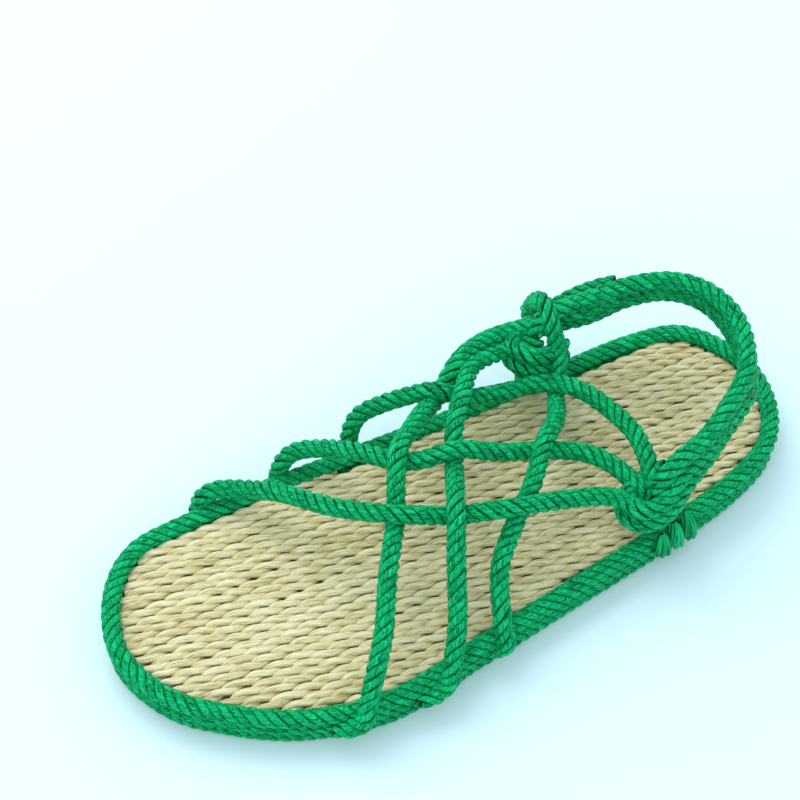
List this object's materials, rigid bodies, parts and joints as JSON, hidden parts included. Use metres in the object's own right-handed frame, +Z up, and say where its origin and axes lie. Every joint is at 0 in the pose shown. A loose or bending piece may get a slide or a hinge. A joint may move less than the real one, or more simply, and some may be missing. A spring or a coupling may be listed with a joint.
{
  "type": "rope sandal",
  "caption": "Left sandal: straw cord footbed edged with rounds of laid rope, crossing rope straps and a rope heel strap.",
  "frame": {"origin": "on the underside of the sole, on its long axis, half way from toe to heel", "axes": "+Z up, -Y towards the toe, +X towards the outer side of this left sandal"},
  "size_m": [0.117, 0.259, 0.0605],
  "materials": {
    "green_rope": "laid rope with a soft silky sheen",
    "straw_cord": "dry twisted straw cord, matt"
  },
  "bodies": {
    "root": {"sole": "straw_cord", "footbed": "straw_cord", "edge_rope_bottom": "green_rope", "edge_rope_middle": "green_rope", "edge_rope_top": "green_rope", "cross_straps": "green_rope", "heel_strap": "green_rope", "lashing_outer_1": "green_rope", "lashing_outer_2": "green_rope", "lashing_outer_3": "green_rope", "lashing_inner_1": "green_rope", "lashing_inner_2": "green_rope", "lashing_inner_3": "green_rope"}
  },
  "joints": []
}
